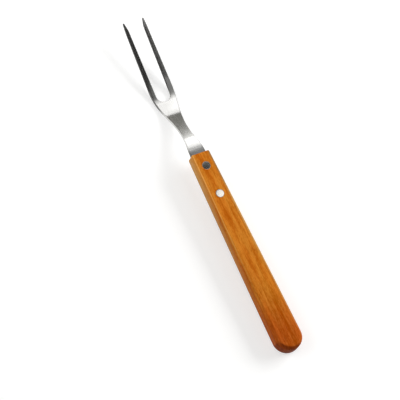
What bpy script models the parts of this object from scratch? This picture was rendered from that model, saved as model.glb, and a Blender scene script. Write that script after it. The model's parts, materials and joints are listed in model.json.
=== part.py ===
"""Two-tined carving fork: a bent steel blade riveted into a one-piece wooden handle.

Metres, +Z up. The fork lies on a table with its tines curving up, resting on the heel of
the blade and on the butt of the handle. +X points to the tine tips, +Y is the left side.

Every piece is modelled in the handle's own frame: X runs along the handle from its butt,
and Z = 0 is the middle of the steel sheet where it sits in the wood. One empty then lays
the whole fork down on its heel.
"""

import math

import bmesh
import bpy
import numpy as np
from mathutils import Matrix

# Fits
FIT_GAP = 0.0003

# Handle, one piece of wood
HANDLE_LENGTH = 0.188
HANDLE_FRONT_WIDTH = 0.0172
HANDLE_BUTT_WIDTH = 0.0244
HANDLE_FRONT_THICKNESS = 0.0117
HANDLE_BUTT_THICKNESS = 0.0146
FRONT_EDGE_RADIUS = 0.0011
BUTT_EDGE_RADIUS = 0.0038

# Steel sheet of the blade
SHEET_THICKNESS = 0.0025
SHEET_EDGE_RADIUS = 0.0003

# Tang, the flat part of the blade inside the handle, and how far it runs past the rear rivet
TANG_WIDTH = 0.0100
TANG_TAIL = 0.0158
TANG_CORNER_RADIUS = 0.0020

# Neck outline of the flat blank, measured forward from the handle's front end
ENTRY_WIDTH = 0.0144
WAIST_WIDTH = 0.0096
WAIST_START = 0.0250
WAIST_END = 0.0280
ROOT_START = 0.0745

# Tines of the flat blank
TINE_SPACING = 0.0180
TINE_ROOT_WIDTH = 0.0045
TINE_TIP_WIDTH = 0.0028
SLOT_BOTTOM = 0.0624
TIP_BEVEL_LENGTH = 0.0070
TIP_OUTWARD = 0.0005
TIP_RADIUS = 0.0006
TIP_OUTER_ANGLE = math.radians(80)
TIP_INNER_ANGLE = math.radians(75)
TIP_THICKNESS = 0.0016
TIP_GRIND_LENGTH = 0.0160

# Bends of the sheet, in order from the handle to the tips
NECK_FLAT = 0.0022
NECK_BEND_ANGLE = math.radians(18.6)
NECK_BEND_RADIUS = 0.0500
NECK_STRAIGHT = 0.0266
HEEL_BEND_RADIUS = 0.0550
TINE_RISE_ANGLE = math.radians(9.75)
TINE_STRAIGHT = 0.0678

# Two-part rivets through the wood and the tang
RIVET_HEAD_DIAMETER = 0.0070
RIVET_HEAD_THICKNESS = 0.0016
RIVET_HEAD_CHAMFER = 0.00025
RIVET_TUBE_DIAMETER = 0.0044
RIVET_POST_DIAMETER = 0.0024
FRONT_RIVET_SETBACK = 0.0128
RIVET_SPACING = 0.0274

# Surfaces: linear colour, roughness, metallic
STEEL = ((0.60, 0.60, 0.58), 0.22, 1.0)
WOOD = ((0.50, 0.15, 0.02), 0.45, 0.0)
RIVET_METAL = ((0.70, 0.70, 0.69), 0.25, 1.0)

# Fineness of the round shapes
ROUND_STEPS = 32
BUTT_STEPS = 36
SIDE_STEPS = 12
EDGE_STEPS = 4
NECK_STEPS = 14
FLARE_STEPS = 20
SLOT_STEPS = 12
CORNER_STEPS = 5
NECK_BEND_STEPS = 10
HEEL_BEND_STEPS = 16
GRIND_STEPS = 6
WELD_DISTANCE = 1e-6
FLAT_ANGLE = math.radians(0.2)
SHARP_ANGLE = math.radians(40)
CUT_MARGIN = 0.002

# Places that follow from the sizes above
RIVETS = {
    "front": HANDLE_LENGTH - FRONT_RIVET_SETBACK,
    "rear": HANDLE_LENGTH - FRONT_RIVET_SETBACK - RIVET_SPACING,
}
TANG_END = RIVETS["rear"] - TANG_TAIL
HEEL_BEND_ANGLE = NECK_BEND_ANGLE + TINE_RISE_ANGLE
NECK_BEND_FROM = HANDLE_LENGTH + NECK_FLAT
NECK_BEND_TO = NECK_BEND_FROM + NECK_BEND_RADIUS * NECK_BEND_ANGLE
HEEL_BEND_FROM = NECK_BEND_TO + NECK_STRAIGHT
HEEL_BEND_TO = HEEL_BEND_FROM + HEEL_BEND_RADIUS * HEEL_BEND_ANGLE
TIP_END = HEEL_BEND_TO + TINE_STRAIGHT


def clear_scene():
    """Remove whatever the file opened with."""
    for old in list(bpy.data.objects):
        bpy.data.objects.remove(old, do_unlink=True)


def new_collection(name):
    collection = bpy.data.collections.new(name)
    bpy.context.scene.collection.children.link(collection)
    return collection


def finish_material(name, finish):
    """A plain surface with the colour and shine of the real piece."""
    colour, roughness, metallic = finish
    material = bpy.data.materials.new(name)
    material.use_nodes = True
    shader = material.node_tree.nodes["Principled BSDF"]
    shader.inputs["Base Color"].default_value = (*colour, 1.0)
    shader.inputs["Roughness"].default_value = roughness
    shader.inputs["Metallic"].default_value = metallic
    return material


def add_object(name, data, collection):
    made = bpy.data.objects.new(name, data)
    collection.objects.link(made)
    return made


def arc(centre, radius, start, end, steps):
    """Points on an arc from angle start to angle end, both ends included."""
    angles = np.linspace(start, end, steps + 1)
    return [(centre[0] + radius * math.cos(a), centre[1] + radius * math.sin(a)) for a in angles]


def ease(share):
    """Smooth step from 0 to 1 with level ends."""
    return share * share * (3.0 - 2.0 * share)


def mirrored_loop(half):
    """Close an outline that was drawn on the +Y side with its mirror image."""
    other = [(x, -y) for x, y in reversed(half) if y > WELD_DISTANCE]
    return half + other


def plain_mesh(name, drawn, collection):
    """Replace a drawn curve or profile by its welded mesh, with the fill's inner edges taken out."""
    bpy.context.view_layer.update()
    evaluated = drawn.evaluated_get(bpy.context.evaluated_depsgraph_get())
    mesh = bpy.data.meshes.new_from_object(evaluated)
    mesh.name = name
    solid = add_object(name, mesh, collection)
    solid.matrix_world = drawn.matrix_world
    bpy.data.objects.remove(drawn, do_unlink=True)
    edit = bmesh.new()
    edit.from_mesh(mesh)
    bmesh.ops.remove_doubles(edit, verts=edit.verts, dist=WELD_DISTANCE)
    bmesh.ops.dissolve_limit(edit, angle_limit=FLAT_ANGLE, verts=[], edges=edit.edges)
    bmesh.ops.recalc_face_normals(edit, faces=edit.faces)
    edit.to_mesh(mesh)
    edit.free()
    mesh.shade_smooth()
    mesh.set_sharp_from_angle(angle=SHARP_ANGLE)
    return solid


def plate(name, loops, half_thickness, edge_radius, collection):
    """Fill flat outlines, and give them thickness and rounded edges."""
    curve = bpy.data.curves.new(name, "CURVE")
    curve.dimensions = "2D"
    curve.fill_mode = "BOTH"
    curve.extrude = half_thickness - edge_radius
    curve.bevel_depth = edge_radius
    curve.bevel_resolution = 1
    curve.offset = -edge_radius
    for loop in loops:
        spline = curve.splines.new("POLY")
        spline.points.add(len(loop) - 1)
        spline.points.foreach_set("co", [c for x, y in loop for c in (x, y, 0.0, 1.0)])
        spline.use_cyclic_u = True
    drawn = add_object(name + "_outline", curve, collection)
    return plain_mesh(name, drawn, collection)


def turned(name, profile, collection):
    """Turn a profile of (radius, height) points about Z. It runs down the outer side."""
    mesh = bpy.data.meshes.new(name + "_profile")
    points = [(radius, 0.0, height) for radius, height in profile]
    mesh.from_pydata(points, [(i, i + 1) for i in range(len(points) - 1)], [])
    drawn = add_object(name + "_profile", mesh, collection)
    screw = drawn.modifiers.new("turn", "SCREW")
    screw.axis = "Z"
    screw.steps = ROUND_STEPS
    screw.render_steps = ROUND_STEPS
    screw.use_merge_vertices = True
    screw.merge_threshold = WELD_DISTANCE
    return plain_mesh(name, drawn, collection)


def cut(target, cutter):
    """Take the cutter's shape out of the target, and hide the cutter."""
    knife = target.modifiers.new(cutter.name, "BOOLEAN")
    knife.operation = "DIFFERENCE"
    knife.solver = "EXACT"
    knife.object = cutter
    cutter.hide_render = True
    cutter.display_type = "WIRE"


def handle_half_thickness(x):
    """Half the handle's thickness, which tapers evenly from the butt to the front."""
    share = x / HANDLE_LENGTH
    return 0.5 * (HANDLE_BUTT_THICKNESS + (HANDLE_FRONT_THICKNESS - HANDLE_BUTT_THICKNESS) * share)


def handle_edge_radius(x):
    """Radius of the handle's rounded edges: crisp at the front, softer towards the butt."""
    share = 1.0 - x / HANDLE_LENGTH
    return FRONT_EDGE_RADIUS + (BUTT_EDGE_RADIUS - FRONT_EDGE_RADIUS) * share * share


def handle_outline():
    """A round butt with straight sides that run off it, tangent, to the narrower front end."""
    radius = HANDLE_BUTT_WIDTH / 2
    front = HANDLE_FRONT_WIDTH / 2
    reach = HANDLE_LENGTH - radius
    lean = math.asin(radius / math.hypot(reach, front)) - math.atan2(front, reach)
    tangent = math.pi / 2 - lean
    butt = arc((radius, 0.0), radius, math.pi, tangent, BUTT_STEPS // 2)
    start = butt[-1]
    shares = np.linspace(0.0, 1.0, SIDE_STEPS + 1)[1:]
    side = [(start[0] + (HANDLE_LENGTH - start[0]) * t, start[1] + (front - start[1]) * t) for t in shares]
    return mirrored_loop(butt + side)


def round_edges(handle):
    """Round every right-angled edge, each stretch with the radius that its place calls for."""
    edit = bmesh.new()
    edit.from_mesh(handle.data)
    weight = edit.edges.layers.float.new("bevel_weight_edge")
    for edge in edit.edges:
        if edge.calc_face_angle() > SHARP_ANGLE:
            x = (edge.verts[0].co.x + edge.verts[1].co.x) / 2
            edge[weight] = handle_edge_radius(x) / BUTT_EDGE_RADIUS
    edit.to_mesh(handle.data)
    edit.free()
    rounding = handle.modifiers.new("rounded_edges", "BEVEL")
    rounding.width = BUTT_EDGE_RADIUS
    rounding.segments = EDGE_STEPS
    rounding.limit_method = "WEIGHT"
    rounding.harden_normals = True


def rivet_bore(name, x, collection):
    """Cutter for one rivet: a bore for the tube and a seat for each head, open to both faces."""
    half = handle_half_thickness(x)
    head = RIVET_HEAD_DIAMETER / 2 + FIT_GAP
    tube = RIVET_TUBE_DIAMETER / 2 + FIT_GAP
    seat = half - RIVET_HEAD_THICKNESS - FIT_GAP
    beyond = half + CUT_MARGIN
    profile = [
        (0.0, beyond), (head, beyond), (head, seat), (tube, seat),
        (tube, -seat), (head, -seat), (head, -beyond), (0.0, -beyond),
    ]
    cutter = turned(name, profile, collection)
    cutter.location.x = x
    return cutter


def tang_slot(collection):
    """Cutter for the slot in the handle's front end that takes the tang."""
    low = TANG_END - FIT_GAP
    high = HANDLE_LENGTH + CUT_MARGIN
    size = (high - low, TANG_WIDTH + 2 * FIT_GAP, SHEET_THICKNESS + 2 * FIT_GAP)
    mesh = bpy.data.meshes.new("tang_slot_cutter")
    edit = bmesh.new()
    bmesh.ops.create_cube(edit, size=1.0, matrix=Matrix.Diagonal((*size, 1.0)))
    edit.to_mesh(mesh)
    edit.free()
    cutter = add_object("tang_slot_cutter", mesh, collection)
    cutter.location.x = (low + high) / 2
    return cutter


def wooden_handle(parts, cutters):
    """The tapered wooden handle, its edges rounded, slotted for the tang and bored for the rivets."""
    half = HANDLE_BUTT_THICKNESS / 2
    handle = plate("wooden_handle", [handle_outline()], half, 0.0, parts)
    for vertex in handle.data.vertices:
        vertex.co.z *= handle_half_thickness(vertex.co.x) / half
    round_edges(handle)
    cut(handle, tang_slot(cutters))
    for place, x in RIVETS.items():
        cut(handle, rivet_bore(place + "_rivet_cutter", x, cutters))
    return handle


def neck_edge():
    """Half the blank's width along the neck: narrowing to the waist, then flaring to the tines."""
    start = HANDLE_LENGTH + FIT_GAP
    entry = ENTRY_WIDTH / 2
    waist = WAIST_WIDTH / 2
    root = (TINE_SPACING + TINE_ROOT_WIDTH) / 2
    waist_from = HANDLE_LENGTH + WAIST_START
    waist_to = HANDLE_LENGTH + WAIST_END
    root_from = HANDLE_LENGTH + ROOT_START
    shares = np.linspace(0.0, 1.0, NECK_STEPS + 1)
    narrowing = [(start + (waist_from - start) * t, entry + (waist - entry) * ease(t)) for t in shares]
    shares = np.linspace(0.0, 1.0, FLARE_STEPS + 1)
    flare = [(waist_to + (root_from - waist_to) * t, waist + (root - waist) * ease(t)) for t in shares]
    return narrowing + flare


def tine_edge():
    """One tine of the blank: outer edge, bevelled point and inner edge down to the round slot."""
    middle = TINE_SPACING / 2
    bevel_from = TIP_END - TIP_BEVEL_LENGTH
    slot_radius = (TINE_SPACING - TINE_ROOT_WIDTH) / 2
    slot_centre = HANDLE_LENGTH + SLOT_BOTTOM + slot_radius
    nose = (TIP_END - TIP_RADIUS, middle + TIP_OUTWARD)
    point = arc(nose, TIP_RADIUS, TIP_OUTER_ANGLE, -TIP_INNER_ANGLE, CORNER_STEPS)
    slot = arc((slot_centre, 0.0), slot_radius, math.pi / 2, math.pi, SLOT_STEPS)
    outer = [(bevel_from, middle + TINE_TIP_WIDTH / 2)]
    inner = [(bevel_from, middle - TINE_TIP_WIDTH / 2)]
    return outer + point + inner + slot


def blank_outline():
    """The stamped blank, flat: tang, shoulders, neck and two tines around a round-ended slot."""
    tang = TANG_WIDTH / 2
    corner = (TANG_END + TANG_CORNER_RADIUS, tang - TANG_CORNER_RADIUS)
    tang_end = arc(corner, TANG_CORNER_RADIUS, math.pi, math.pi / 2, CORNER_STEPS)
    shoulder = [(HANDLE_LENGTH + FIT_GAP, tang)]
    return mirrored_loop(tang_end + shoulder + neck_edge() + tine_edge())


def ground_height(s, height):
    """Height of a blank point after grinding: the points are thinned from below, flat on top."""
    share = np.clip((s - TIP_END + TIP_GRIND_LENGTH) / TIP_GRIND_LENGTH, 0.0, 1.0)
    taken = 2.0 * (1.0 - TIP_THICKNESS / SHEET_THICKNESS) * share * share
    return height * (1.0 - taken) if height < 0.0 else height


def sheet_path(s):
    """Place and slope of the sheet's middle at developed length s: level, down, straight, up."""
    neck_turn = min(max(s - NECK_BEND_FROM, 0.0), NECK_BEND_TO - NECK_BEND_FROM) / NECK_BEND_RADIUS
    heel_turn = min(max(s - HEEL_BEND_FROM, 0.0), HEEL_BEND_TO - HEEL_BEND_FROM) / HEEL_BEND_RADIUS
    x = min(s, NECK_BEND_FROM) + NECK_BEND_RADIUS * math.sin(neck_turn)
    z = -NECK_BEND_RADIUS * (1.0 - math.cos(neck_turn))
    straight = min(max(s - NECK_BEND_TO, 0.0), NECK_STRAIGHT)
    x += straight * math.cos(NECK_BEND_ANGLE)
    z -= straight * math.sin(NECK_BEND_ANGLE)
    slope = heel_turn - neck_turn
    if s > HEEL_BEND_FROM:
        x += HEEL_BEND_RADIUS * (math.sin(slope) + math.sin(NECK_BEND_ANGLE))
        z += HEEL_BEND_RADIUS * (math.cos(NECK_BEND_ANGLE) - math.cos(slope))
    rest = max(s - HEEL_BEND_TO, 0.0)
    return x + rest * math.cos(slope), z + rest * math.sin(slope), slope


def bend_stations():
    """Developed lengths where the flat blank needs an edge across it before it is bent and ground."""
    neck = np.linspace(NECK_BEND_FROM, NECK_BEND_TO, NECK_BEND_STEPS + 1)
    heel = np.linspace(HEEL_BEND_FROM, HEEL_BEND_TO, HEEL_BEND_STEPS + 1)
    grind = np.linspace(TIP_END - TIP_GRIND_LENGTH, TIP_END, GRIND_STEPS + 1)[:-1]
    return np.concatenate([neck, heel, grind])


def fork_blade(parts):
    """Stamp the blank, score it across at each station, grind its points, then bend it."""
    hole_radius = RIVET_TUBE_DIAMETER / 2 + FIT_GAP
    holes = [arc((x, 0.0), hole_radius, 0.0, -math.tau, ROUND_STEPS)[:-1] for x in RIVETS.values()]
    blade = plate("fork_blade", [blank_outline()] + holes, SHEET_THICKNESS / 2, SHEET_EDGE_RADIUS, parts)
    edit = bmesh.new()
    edit.from_mesh(blade.data)
    for s in bend_stations():
        everything = edit.verts[:] + edit.edges[:] + edit.faces[:]
        bmesh.ops.bisect_plane(
            edit, geom=everything, dist=WELD_DISTANCE, plane_co=(s, 0, 0), plane_no=(1, 0, 0)
        )
    for vertex in edit.verts:
        s = vertex.co.x
        height = ground_height(s, vertex.co.z)
        x, z, slope = sheet_path(s)
        vertex.co.x = x - height * math.sin(slope)
        vertex.co.z = z + height * math.cos(slope)
    edit.to_mesh(blade.data)
    edit.free()
    return blade


def rivet_halves(place, x, parts):
    """A two-part rivet: the post's pin stands in the tube, and each head lies flush with the wood."""
    half = handle_half_thickness(x)
    head = RIVET_HEAD_DIAMETER / 2
    rim = head - RIVET_HEAD_CHAMFER
    under = half - RIVET_HEAD_THICKNESS
    post = RIVET_POST_DIAMETER / 2
    tube = RIVET_TUBE_DIAMETER / 2
    bore = post + FIT_GAP
    bore_end = -under
    post_profile = [
        (0.0, half), (rim, half), (head, half - RIVET_HEAD_CHAMFER), (head, under),
        (post, under), (post, bore_end + FIT_GAP), (0.0, bore_end + FIT_GAP),
    ]
    tube_profile = [
        (0.0, bore_end), (bore, bore_end), (bore, under - FIT_GAP), (tube, under - FIT_GAP),
        (tube, -under), (head, -under), (head, RIVET_HEAD_CHAMFER - half), (rim, -half), (0.0, -half),
    ]
    made = [
        turned(place + "_rivet_post", post_profile, parts),
        turned(place + "_rivet_tube", tube_profile, parts),
    ]
    for half_rivet in made:
        half_rivet.location.x = x
    return made


def resting_pitch():
    """Angle that brings the heel's outer curve and the butt's rounded lower edge to one level.

    Turned by p, a circle at (x, z) of radius r reaches down to x sin p + z cos p - r. Setting
    both circles equal gives a cos p + b sin p = c, which this solves for the small angle p.
    """
    start_x, start_z, slope = sheet_path(HEEL_BEND_FROM)
    heel_x = start_x - HEEL_BEND_RADIUS * math.sin(slope)
    heel_z = start_z + HEEL_BEND_RADIUS * math.cos(slope)
    heel_radius = HEEL_BEND_RADIUS + SHEET_THICKNESS / 2
    butt_x = BUTT_EDGE_RADIUS
    butt_z = BUTT_EDGE_RADIUS - HANDLE_BUTT_THICKNESS / 2
    a = butt_z - heel_z
    b = butt_x - heel_x
    c = BUTT_EDGE_RADIUS - heel_radius
    turn = math.atan2(b, a) + math.acos(c / math.hypot(a, b))
    return (turn + math.pi) % math.tau - math.pi


def world_points(parts):
    """All corner points of the finished parts, in world space."""
    depsgraph = bpy.context.evaluated_depsgraph_get()
    clouds = []
    for part in parts.objects:
        if part.type != "MESH":
            continue
        mesh = part.evaluated_get(depsgraph).data
        points = np.empty(len(mesh.vertices) * 3)
        mesh.vertices.foreach_get("co", points)
        matrix = np.array(part.matrix_world)
        clouds.append(points.reshape(-1, 3) @ matrix[:3, :3].T + matrix[:3, 3])
    return np.concatenate(clouds)


def lay_on_table(root, parts):
    """Pitch the fork onto its heel, then bring the middle of its footprint to the origin."""
    root.rotation_euler = (0.0, -resting_pitch(), 0.0)
    bpy.context.view_layer.update()
    points = world_points(parts)
    low = points.min(axis=0)
    high = points.max(axis=0)
    root.location = (-(low[0] + high[0]) / 2, -(low[1] + high[1]) / 2, -low[2])
    bpy.context.view_layer.update()
    print("pitch in degrees", round(math.degrees(resting_pitch()), 3))
    print("size in mm", np.round((high - low) * 1000, 2).tolist())
    print("root in mm", [round(v * 1000, 3) for v in root.location])


def main():
    clear_scene()
    parts = new_collection("carving_fork")
    cutters = new_collection("cutters")
    root = add_object("fork_rest", None, parts)
    finishes = [(fork_blade(parts), STEEL), (wooden_handle(parts, cutters), WOOD)]
    for place, x in RIVETS.items():
        finishes += [(half_rivet, RIVET_METAL) for half_rivet in rivet_halves(place, x, parts)]
    for made, finish in finishes:
        made.data.materials.clear()
        made.data.materials.append(finish_material(made.name, finish))
        made.parent = root
    for cutter in cutters.objects:
        cutter.parent = root
    lay_on_table(root, parts)


main()
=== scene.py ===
# %% [markdown]
# A two-tined carving fork, dressed for its picture.
#
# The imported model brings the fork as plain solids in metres, lying on a table. This lesson
# rebuilds the surfaces that the eye sees, finer than the solids: a bent steel blade, a
# wooden handle with softened edges, and the rivets. Then it finishes them with procedural
# steel, wood and rivet metal, and lights them like a small product picture.

# %% Load the frame
import json
import math

import bmesh
import bpy
import numpy as np
from mathutils import Matrix, Vector


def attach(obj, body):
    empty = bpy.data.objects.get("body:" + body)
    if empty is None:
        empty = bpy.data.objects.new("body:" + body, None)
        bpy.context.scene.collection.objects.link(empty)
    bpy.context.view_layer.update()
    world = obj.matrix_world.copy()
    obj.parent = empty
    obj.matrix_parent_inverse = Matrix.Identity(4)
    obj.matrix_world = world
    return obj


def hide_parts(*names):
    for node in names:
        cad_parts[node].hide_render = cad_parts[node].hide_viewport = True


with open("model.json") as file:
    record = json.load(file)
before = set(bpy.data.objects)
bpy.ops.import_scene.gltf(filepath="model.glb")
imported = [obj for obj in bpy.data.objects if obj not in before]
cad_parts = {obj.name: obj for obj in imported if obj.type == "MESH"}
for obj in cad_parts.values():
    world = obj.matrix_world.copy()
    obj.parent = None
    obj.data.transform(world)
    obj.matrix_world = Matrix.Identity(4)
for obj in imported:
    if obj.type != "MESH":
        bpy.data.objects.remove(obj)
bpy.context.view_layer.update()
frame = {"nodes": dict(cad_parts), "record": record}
print("solids:", sorted(frame["nodes"]))

# %% [markdown]
# The fork lies a little tilted, because it rests on the heel of its blade and on the butt
# of its handle. Shapes are easier to write in the fork's own axes: X from the butt along
# the handle, Y to its left, Z up from the middle of the steel sheet. The two rivets stand
# on that middle line, so the boxes of their solids give the axes without any typed angle.


# %% Find the fork's own axes
def node_points(*names):
    """All corner points of the named solids, one row for each point."""
    meshes = [frame["nodes"][name].data for name in names]
    clouds = [np.empty(3 * len(mesh.vertices)) for mesh in meshes]
    for mesh, cloud in zip(meshes, clouds):
        mesh.vertices.foreach_get("co", cloud)
    return np.concatenate(clouds).reshape(-1, 3)


def rivet_middle(place):
    """Middle of the box around both halves of one rivet."""
    points = node_points(place + "_rivet_post", place + "_rivet_tube")
    return (points.min(axis=0) + points.max(axis=0)) / 2


front_rivet = rivet_middle("front")
rear_rivet = rivet_middle("rear")
along = (front_rivet - rear_rivet) / np.linalg.norm(front_rivet - rear_rivet)
left = np.array([0.0, 1.0, 0.0])
fork_axes = np.stack([along, left, np.cross(along, left)])
handle_reach = (node_points("wooden_handle") - front_rivet) @ along
butt = front_rivet + handle_reach.min() * along


def to_fork(points):
    """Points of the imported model, written in the fork's own axes."""
    return (np.asarray(points) - butt) @ fork_axes.T


def to_world(points):
    """Points in the fork's own axes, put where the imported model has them."""
    return np.asarray(points) @ fork_axes + butt


pitch = math.atan2(along[2], along[0])
print("pitch in degrees", round(math.degrees(pitch), 3))

# %% [markdown]
# The handle's length and its widest place come from its solid, and its thickness from the
# record: the mount on the upper face is a point and a direction, which is all that a
# tapering flat face needs. The rest are the sizes a maker would note beside the drawing.

# %% Sizes of the handle
handle_points = to_fork(node_points("wooden_handle"))
HANDLE_LENGTH = handle_points[:, 0].max()
BUTT_RADIUS = handle_points[:, 1].max()
FRONT_HALF_WIDTH = 0.0086
FRONT_EDGE_RADIUS = 0.0011
BUTT_EDGE_RADIUS = 0.0038
FIT_GAP = 0.0003

upper_mount = next(m for m in frame["record"]["mounts"] if m["name"] == "handle_top")
upper_point = to_fork(upper_mount["pos_m"])
upper_normal = fork_axes @ np.array(upper_mount["axis"])


def handle_half_thickness(x):
    """Height of the handle's flat upper face over its middle, for an array of places x."""
    return upper_point[2] - upper_normal[0] / upper_normal[2] * (x - upper_point[0])


def handle_edge_radius(x):
    """Rounding of the long edges: crisp at the front, softer by a square law to the butt."""
    share = 1 - x / HANDLE_LENGTH
    return FRONT_EDGE_RADIUS + (BUTT_EDGE_RADIUS - FRONT_EDGE_RADIUS) * share**2


print("handle length and butt width in mm", np.round([1000 * HANDLE_LENGTH, 2000 * BUTT_RADIUS], 2))

# %% [markdown]
# Every piece below is a set of grids: a function of two parameters gives rows and columns
# of points, and neighbours in the grid become the faces. A cube that is cut and smoothed
# could get near these shapes, but a grid says exactly where each curve runs. Where two
# grids meet they share points, so welding them closes the surface.


# %% Turn grids of points into a mesh
WELD_DISTANCE = 1e-6
SHARP_ANGLE = math.radians(38)


def grid_quads(rows, columns, first):
    """Corner numbers of the faces of one grid whose points start at number first."""
    corner = first + np.arange(rows - 1)[:, None] * columns + np.arange(columns - 1)
    return np.stack([corner, corner + 1, corner + columns + 1, corner + columns], axis=-1)


def mesh_piece(name, grids, edges=(), holes=()):
    """Weld grids, given in the fork's axes, into one closed piece that rides on the fork.

    edges gives every point's share of an edge, from 0 on a face to 1 on the edge itself, for
    a finish that reads it. holes lists (grid, rows, columns) slices that stay open.
    """
    points = np.concatenate([grid.reshape(-1, 3) for grid in grids])
    firsts = np.cumsum([0] + [grid.shape[0] * grid.shape[1] for grid in grids])
    quads = [grid_quads(*grid.shape[:2], first) for grid, first in zip(grids, firsts)]
    kept = [np.ones(quad.shape[:2], bool) for quad in quads]
    for number, rows, columns in holes:
        kept[number][rows, columns] = False
    faces = np.concatenate([quad[keep] for quad, keep in zip(quads, kept)])
    mesh = bpy.data.meshes.new(name)
    mesh.from_pydata(to_world(points), [], faces.tolist())
    if edges:
        edge_share = mesh.attributes.new("edge", "FLOAT", "POINT")
        edge_share.data.foreach_set("value", np.concatenate([edge.ravel() for edge in edges]))
    edit = bmesh.new()
    edit.from_mesh(mesh)
    bmesh.ops.remove_doubles(edit, verts=edit.verts, dist=WELD_DISTANCE)
    bmesh.ops.dissolve_degenerate(edit, edges=edit.edges, dist=WELD_DISTANCE)
    bmesh.ops.recalc_face_normals(edit, faces=edit.faces)
    open_edges = sum(1 for edge in edit.edges if not edge.is_manifold)
    edit.to_mesh(mesh)
    edit.free()
    mesh.shade_smooth()
    mesh.set_sharp_from_angle(angle=SHARP_ANGLE)
    piece = bpy.data.objects.new(name, mesh)
    bpy.context.scene.collection.objects.link(piece)
    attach(piece, "root")
    print(name, "faces", len(mesh.polygons), "open edges", open_edges)
    return piece


def mirrored(grids):
    """The grids of the left half, and the same ones on the right."""
    return grids + [grid * (1, -1, 1) for grid in grids]


# %% [markdown]
# Blade and handle are both flat bars with rounded edges, so they share one cross-section.
# It is flat from the spine to where the rounding starts, turns down through a quarter
# circle, drops down the wall, and is mirrored below. Only the outline and the thickness
# differ from piece to piece, and both arrive as arrays with one row for each station.

# %% The cross-section of a bar with rounded edges
ROUND_ANGLES = np.linspace(math.pi / 2, 0, 7)
FLAT_SHARES = np.array([0, 0.12, 0.25, 0.4, 0.55, 0.7, 0.82, 0.92, 0.98, 1.0])
FLATS = len(FLAT_SHARES)


def flat_points(start, end, height_of):
    """Points on the upper face, from start to end, at the height that height_of gives."""
    plan = start[:, None] + (end - start)[:, None] * FLAT_SHARES[:, None]
    return np.concatenate([plan, height_of(plan[..., :1]) + 0 * plan[..., :1]], axis=-1)


def edge_points(edge, normal, radius, height_of):
    """Quarter circle from the upper face to the wall: centre plus radius times (cos, sin)."""
    core = edge - radius[:, None] * normal
    reach = radius[:, None] * np.cos(ROUND_ANGLES)
    plan = core[:, None] + normal[:, None] * reach[..., None]
    fall = radius[:, None] * (1 - np.sin(ROUND_ANGLES))
    height = height_of(core[:, None, :1]) - fall[..., None]
    return np.concatenate([plan, height + 0 * plan[..., :1]], axis=-1)


def both_faces(upper):
    """Follow the upper points with their mirror image below, in reverse order."""
    return np.concatenate([upper, upper[:, ::-1] * (1, 1, -1)], axis=1)


def edge_columns(upper, rows):
    """The same edge shares for every station, from the upper half of one section."""
    return np.tile(np.concatenate([upper, upper[::-1]]), (rows, 1))


def half_section(spine, edge, normal, radius, height_of):
    """Section from the spine out to the edge and back below, for every station."""
    core = edge - radius[:, None] * normal
    flat = flat_points(spine, core, height_of)
    rounding = edge_points(edge, normal, radius, height_of)
    return both_faces(np.concatenate([flat[:, :-1], rounding], axis=1))


# %% [markdown]
# The blade is stamped from sheet as a flat blank, then bent, and this lesson makes it the
# same way. The blank has a tang that hides in the handle, shoulders that stop at the wood,
# a waisted neck, and two tines around a round-ended slot. Drawing it flat keeps every
# width true; the bend comes afterwards and takes the whole outline with it.

# %% Sizes of the blank, along the sheet from the butt end of the handle
SHEET_THICKNESS = 0.0025
SHEET_EDGE_RADIUS = 0.0003
TANG_START = to_fork(node_points("fork_blade"))[:, 0].min()
TANG_HALF_WIDTH = 0.0050
TANG_CORNER = 0.0020
ENTRY_HALF_WIDTH = 0.0072
WAIST_HALF_WIDTH = 0.0048
WAIST_START = HANDLE_LENGTH + 0.0250
WAIST_END = HANDLE_LENGTH + 0.0280
ROOT_START = HANDLE_LENGTH + 0.0745
TINE_MIDDLE = 0.0090
ROOT_TINE_WIDTH = 0.0045
TIP_TINE_WIDTH = 0.0028
SLOT_BOTTOM = HANDLE_LENGTH + 0.0624
POINT_LENGTH = 0.0070
POINT_RADIUS = 0.0006
POINT_OUTWARD = 0.0005
POINT_THICKNESS = 0.0016
GRIND_LENGTH = 0.0160

# Bends of the sheet, from the handle to the points
NECK_BEND_START = HANDLE_LENGTH + 0.0022
NECK_ANGLE = math.radians(18.6)
NECK_RADIUS = 0.050
NECK_STRAIGHT = 0.0266
HEEL_RADIUS = 0.055
TINE_ANGLE = math.radians(9.75)
TINE_STRAIGHT = 0.0678

NECK_BEND_END = NECK_BEND_START + NECK_RADIUS * NECK_ANGLE
HEEL_START = NECK_BEND_END + NECK_STRAIGHT
HEEL_END = HEEL_START + HEEL_RADIUS * (NECK_ANGLE + TINE_ANGLE)
POINT_END = HEEL_END + TINE_STRAIGHT
POINT_START = POINT_END - POINT_LENGTH
SLOT_RADIUS = TINE_MIDDLE - ROOT_TINE_WIDTH / 2
SLOT_CENTRE = SLOT_BOTTOM + SLOT_RADIUS
print("blank in mm, tang to points", round(1000 * (POINT_END - TANG_START), 1))


# %% Outline of the blank
def eased(share):
    """Smooth step from 0 to 1 with level ends."""
    share = np.clip(share, 0, 1)
    return share * share * (3 - 2 * share)


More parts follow.
